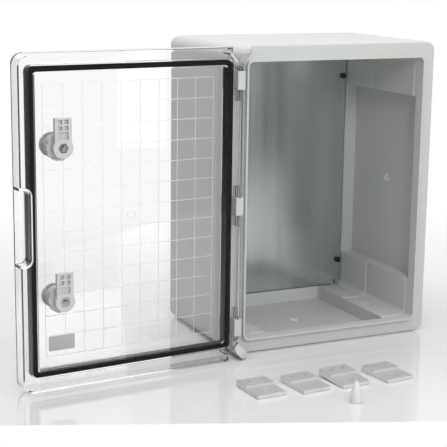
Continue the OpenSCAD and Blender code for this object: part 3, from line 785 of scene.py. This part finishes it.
@dataclass
class LockAssembly:
    """A quarter-turn cam lock: housing, washer and ring nut on the door, the rest its own body."""

    finishes: Finishes
    prefix: str
    body: Body
    stud_r_mm: float = 2.7
    stud_straight_mm: float = 2.8
    # Share of the stud's radius and height in millimetres, from its straight part to the top
    stud_dome: tuple[tuple[float, float], ...] = ((0.92, 3.08), (0.55, 3.43), (0.0, 3.5))

    def axis_frame(self) -> Matrix:
        """Works out the frame of the lock at rest from its joint and its cam nut's box.

        Returns:
            The frame, with its origin in the cam nut and its Z along the lock's axis.
        """
        joint = next(j for j in frame["joints"] if j["child"] == self.body.value)
        axis = Vector(joint["axis"]).normalized()
        low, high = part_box(f"{self.prefix}_cam_nut")
        centre = (Vector(low) + Vector(high)) / 2
        turn = Vector((0.0, 0.0, 1.0)).rotation_difference(axis).to_matrix().to_4x4()
        return Matrix.Translation(centre) @ turn

    def build(self) -> None:
        """Adds the domed end of the spindle's stud inside the cam nut."""
        radius = self.stud_r_mm * MM
        profile = ([(0.0, 0.0), (radius, 0.0), (radius, self.stud_straight_mm * MM)]
                   + [(radius * share, height_mm * MM) for share, height_mm in self.stud_dome])
        name = f"{self.prefix}_stud_end"
        mesh = lathe(name, profile, self.axis_frame())
        add_piece(name, mesh, self.finishes.zinc_cast, self.body)

    def dress(self) -> None:
        """Gives the lock's CAD nodes their finishes."""
        dress(f"{self.prefix}_housing", self.finishes.lock_abs)
        dress(f"{self.prefix}_washer", self.finishes.washer)
        dress(f"{self.prefix}_ring_nut", self.finishes.lock_abs)
        dress(f"{self.prefix}_spindle", self.finishes.zinc_cast)
        dress(f"{self.prefix}_cam", self.finishes.lock_abs)
        dress(f"{self.prefix}_cam_nut", self.finishes.zinc_cast)


@dataclass
class FixingKit:
    """Four loose wall brackets and the lock key, standing in front of the case."""

    finishes: Finishes
    bracket_count: int = 4
    tipped_shift_mm: tuple[float, float] = (53.6, -1.2)
    tipped_lift_mm: float = 2.4
    bracket_length_mm: float = 52.0

    def build(self) -> None:
        """Replaces the third bracket by one like the others, tipped onto its lug's front edge."""
        beside = frame["nodes"]["wall_bracket_2"]
        work = bmesh.new()
        work.from_mesh(beside.data)
        work.transform(beside.matrix_world)
        front = min(vert.co.y for vert in work.verts)
        hinge = Vector((0.0, front, 0.0))
        tip = Matrix.Rotation(math.atan(self.tipped_lift_mm / self.bracket_length_mm), 4, "X")
        work.transform(Matrix.Translation(hinge) @ tip @ Matrix.Translation(-hinge))
        shift_x, shift_y = self.tipped_shift_mm
        work.transform(Matrix.Translation((shift_x * MM, shift_y * MM, 0.0)))
        mesh = close_mesh(work, "wall_bracket_tipped")
        piece = add_piece("wall_bracket_tipped", mesh, self.finishes.kit_abs, Body.KIT)
        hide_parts("wall_bracket_3")

    def dress(self) -> None:
        """Gives the loose pieces their finishes."""
        for number in range(1, self.bracket_count + 1):
            dress(f"wall_bracket_{number}", self.finishes.kit_abs)
        dress("lock_key", self.finishes.key_plastic)


# ---------------------------------------------------------------- studio


@dataclass(frozen=True)
class AcrylicTable:
    """White polished acrylic table top, square to the camera, that fades out towards the backdrop.

    near to far are distances ahead of the camera, along the ground in metres. Nearer than
    shown_from the camera sees plain white, as it does above the table.
    """

    near: float = 1.0
    shown_from: float = 1.329
    fade_from: float = 1.55
    fade_to: float = 2.58
    far: float = 2.6
    half_width: float = 3.0
    sink: float = 0.0003
    name: str = "acrylic_sheet_white_gloss"
    colour: str = "DEDEDE"
    ior: float = 1.49
    smoothest: float = 0.05
    roughest: float = 0.09
    wave_mm: float = 60.0

    def make(self, ahead: Vector, reach: float) -> bpy.types.Material:
        """Builds the material.

        Args:
            ahead: Level direction away from the camera.
            reach: How far along it the camera stands, in metres.

        Returns:
            The finished material.
        """
        material, tree = new_material(self.name)
        place = add_node(tree, "ShaderNodeTexCoord").outputs["Object"]
        # Polished acrylic: a mirror-like skin over an even white body
        wave = add_node(tree, "ShaderNodeTexNoise",
                        inputs={"Vector": place, "Scale": per_metre(self.wave_mm)})
        rough = add_node(tree, "ShaderNodeMapRange",
                         inputs={"Value": wave.outputs["Fac"], "To Min": self.smoothest,
                                 "To Max": self.roughest})
        shader = add_node(tree, "ShaderNodeBsdfPrincipled",
                          inputs={"Base Color": linear(self.colour), "IOR": self.ior,
                                  "Roughness": rough.outputs["Result"]})
        depth = add_node(tree, "ShaderNodeVectorMath", {"operation": "DOT_PRODUCT"},
                         {0: place, 1: tuple(ahead)})
        fade = add_node(tree, "ShaderNodeMapRange", {"interpolation_type": "SMOOTHSTEP"},
                        {"Value": depth.outputs["Value"], "From Min": reach + self.fade_from,
                         "From Max": reach + self.fade_to})
        clear = add_node(tree, "ShaderNodeBsdfTransparent")
        faded = add_node(tree, "ShaderNodeMixShader",
                         inputs={0: fade.outputs["Result"], 1: shader.outputs["BSDF"],
                                 2: clear.outputs["BSDF"]})
        path = add_node(tree, "ShaderNodeLightPath")
        front = add_node(tree, "ShaderNodeMath", {"operation": "LESS_THAN"},
                         {0: depth.outputs["Value"], 1: reach + self.shown_from})
        whiten = add_node(tree, "ShaderNodeMath", {"operation": "MULTIPLY"},
                          {0: front.outputs["Value"], 1: path.outputs["Is Camera Ray"]})
        white = add_node(tree, "ShaderNodeEmission",
                         inputs={"Color": linear(WHITE), "Strength": 1.0})
        shown = add_node(tree, "ShaderNodeMixShader",
                         inputs={0: whiten.outputs["Value"], 1: faded.outputs["Shader"],
                                 2: white.outputs["Emission"]})
        add_node(tree, "ShaderNodeOutputMaterial", inputs={"Surface": shown.outputs["Shader"]})
        return material


@dataclass(frozen=True)
class Lamp:
    """A soft box: where it hangs, the point that it faces, its width and height, and its watts."""

    name: str
    place: Place
    aim: Place
    size: tuple[float, float]
    watts: float
    mirrored: bool = False

    def build(self) -> None:
        """Hangs the lamp; only a mirrored one shows in glossy surfaces."""
        data = bpy.data.lights.new(self.name, "AREA")
        data.shape = "RECTANGLE"
        data.size, data.size_y = self.size
        data.energy = self.watts
        obj = bpy.data.objects.new(self.name, data)
        bpy.context.scene.collection.objects.link(obj)
        direction = (Vector(self.aim) - Vector(self.place)).normalized()
        turn = direction.to_track_quat("-Z", "Y").to_matrix().to_4x4()
        obj.matrix_world = Matrix.Translation(self.place) @ turn
        obj.visible_glossy = self.mirrored
        obj.visible_transmission = False
        log.info("lamp %s set", self.name)


LAMPS = (
    Lamp("softbox_overhead", (-0.2, -0.1, 1.6), (0.0, 0.0, 0.2), (1.6, 1.2), 16.8),
    Lamp("softbox_front", (0.75, -1.25, 1.45), (0.0, 0.0, 0.12), (0.8, 0.8), 1.0, mirrored=True),
    Lamp("softbox_key", (-0.35, -1.5, 1.0), (0.05, 0.0, 0.2), (0.3, 0.4), 6.5),
    Lamp("softbox_low", (0.36, -1.47, 0.56), (-0.05, 0.0, 0.2), (0.28, 0.5), 2.6, mirrored=True),
    Lamp("strip_light_side", (0.56, -1.47, 0.24), (-0.1, 0.05, 0.25), (0.12, 0.4), 0.24,
         mirrored=True),
)


@dataclass(frozen=True)
class StudioRoom:
    """The room: plain white to the camera, an even fill light for matt surfaces.

    In mirrors and through the door it shows a lit backdrop behind the object, a lit wall behind the
    camera and dim sides, which draw the door's edges in grey. The *_from and *_full fields say
    where that light starts and is full, as a direction's dot product with ahead. Seen through the
    door, the wall behind the camera reaches further round, by wall_shift.
    """

    ahead: Place = (0.42, 0.90, 0.0)
    backdrop_from: float = 0.5
    backdrop_full: float = 0.88
    side_level: float = 0.06
    wall_from: float = -0.75
    wall_full: float = -0.95
    wall_level: float = 0.85
    wall_shift: float = -0.65
    fill: str = "FCFDFC"
    fill_level: float = 0.48

    def build(self) -> None:
        """Builds the room and makes it the scene's world."""
        world = bpy.data.worlds.new("studio_room")
        world.use_nodes = True
        tree = world.node_tree
        tree.nodes.clear()
        path = add_node(tree, "ShaderNodeLightPath")
        direction = add_node(tree, "ShaderNodeTexCoord").outputs["Generated"]
        toward = add_node(tree, "ShaderNodeVectorMath", {"operation": "DOT_PRODUCT"},
                          {0: direction, 1: self.ahead})
        backdrop = add_node(tree, "ShaderNodeMapRange", {"interpolation_type": "SMOOTHSTEP"},
                            {"Value": toward.outputs["Value"], "From Min": self.backdrop_from,
                             "From Max": self.backdrop_full, "To Min": self.side_level,
                             "To Max": 1.0})
        shifted = add_node(tree, "ShaderNodeMath", {"operation": "MULTIPLY_ADD"},
                           {0: path.outputs["Is Transmission Ray"], 1: self.wall_shift,
                            2: toward.outputs["Value"]})
        wall = add_node(tree, "ShaderNodeMapRange", {"interpolation_type": "SMOOTHSTEP"},
                        {"Value": shifted.outputs["Value"], "From Min": self.wall_from,
                         "From Max": self.wall_full, "To Min": 0.0, "To Max": self.wall_level})
        walls = add_node(tree, "ShaderNodeMath", {"operation": "MAXIMUM"},
                         {0: backdrop.outputs["Result"], 1: wall.outputs["Result"]})
        seen = add_node(tree, "ShaderNodeMath", {"operation": "MAXIMUM"},
                        {0: path.outputs["Is Glossy Ray"], 1: path.outputs["Is Transmission Ray"]})
        room = add_node(tree, "ShaderNodeBackground",
                        inputs={"Color": linear(WHITE), "Strength": walls.outputs["Value"]})
        fill = add_node(tree, "ShaderNodeBackground",
                        inputs={"Color": linear(self.fill), "Strength": self.fill_level})
        plain = add_node(tree, "ShaderNodeBackground",
                         inputs={"Color": linear(WHITE), "Strength": 1.0})
        lighting = add_node(tree, "ShaderNodeMixShader",
                            inputs={0: seen.outputs["Value"], 1: fill.outputs["Background"],
                                    2: room.outputs["Background"]})
        shown = add_node(tree, "ShaderNodeMixShader",
                         inputs={0: path.outputs["Is Camera Ray"], 1: lighting.outputs["Shader"],
                                 2: plain.outputs["Background"]})
        add_node(tree, "ShaderNodeOutputWorld", inputs={"Surface": shown.outputs["Shader"]})
        bpy.context.scene.world = world
        log.info("room set")


@dataclass
class Studio:
    """The camera, and the table, room and lamps about it."""

    table: AcrylicTable = AcrylicTable()
    room: StudioRoom = StudioRoom()
    lamps: tuple[Lamp, ...] = LAMPS
    lens_mm: float = 102.17
    sensor_mm: float = 36.0
    clip_end: float = 50.0
    camera_place: Place = (-0.83310, -1.51857, 0.50888)
    camera_look: Place = (0.4197091, 0.8836684, -0.2073026)
    camera_right: Place = (0.9043933, -0.4265015, 0.0130060)

    def set_camera(self) -> None:
        """Adds the camera."""
        data = bpy.data.cameras.new("studio_camera")
        data.lens = self.lens_mm
        data.sensor_width = self.sensor_mm
        data.clip_end = self.clip_end
        obj = bpy.data.objects.new("studio_camera", data)
        bpy.context.scene.collection.objects.link(obj)
        look = Vector(self.camera_look).normalized()
        right = Vector(self.camera_right).normalized()
        up = right.cross(look).normalized()
        turn = Matrix((right, up, -look)).transposed().to_4x4()
        obj.matrix_world = Matrix.Translation(self.camera_place) @ turn
        bpy.context.scene.camera = obj
        log.info("camera set")

    def set_table(self) -> None:
        """Adds the table top."""
        up = Vector(self.camera_right).cross(Vector(self.camera_look))
        ahead = Vector((up.x, up.y, 0.0)).normalized()
        aside = Vector((ahead.y, -ahead.x, 0.0))
        start = Vector((self.camera_place[0], self.camera_place[1], 0.0))
        near, far, half = self.table.near, self.table.far, self.table.half_width
        corners = [start + ahead * depth + aside * side
                   for depth, side in ((near, -half), (near, half), (far, half), (far, -half))]
        mesh = bpy.data.meshes.new("table_top")
        mesh.from_pydata([tuple(corner) for corner in corners], [], [(0, 1, 2, 3)])
        obj = bpy.data.objects.new("table_top", mesh)
        bpy.context.scene.collection.objects.link(obj)
        obj.location.z = -self.table.sink
        mesh.materials.append(self.table.make(ahead, start.dot(ahead)))
        log.info("table top set")

    def build(self) -> None:
        """Sets up the whole studio."""
        self.set_camera()
        self.set_table()
        self.room.build()
        for lamp in self.lamps:
            lamp.build()
        bpy.context.scene.view_settings.view_transform = "Standard"


def main() -> None:
    """Builds the classes in order."""
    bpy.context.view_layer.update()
    finishes = Finishes()
    Studio().build()
    case = CaseAssembly(finishes)
    case.build()
    case.dress()
    door = DoorAssembly(finishes)
    door.build()
    door.dress()
    for prefix, body in (("upper_lock", Body.UPPER_LOCK), ("lower_lock", Body.LOWER_LOCK)):
        lock = LockAssembly(finishes, prefix, body)
        lock.build()
        lock.dress()
    kit = FixingKit(finishes)
    kit.build()
    kit.dress()
    log.info("sizes written")


if __name__ == "__main__":
    main()
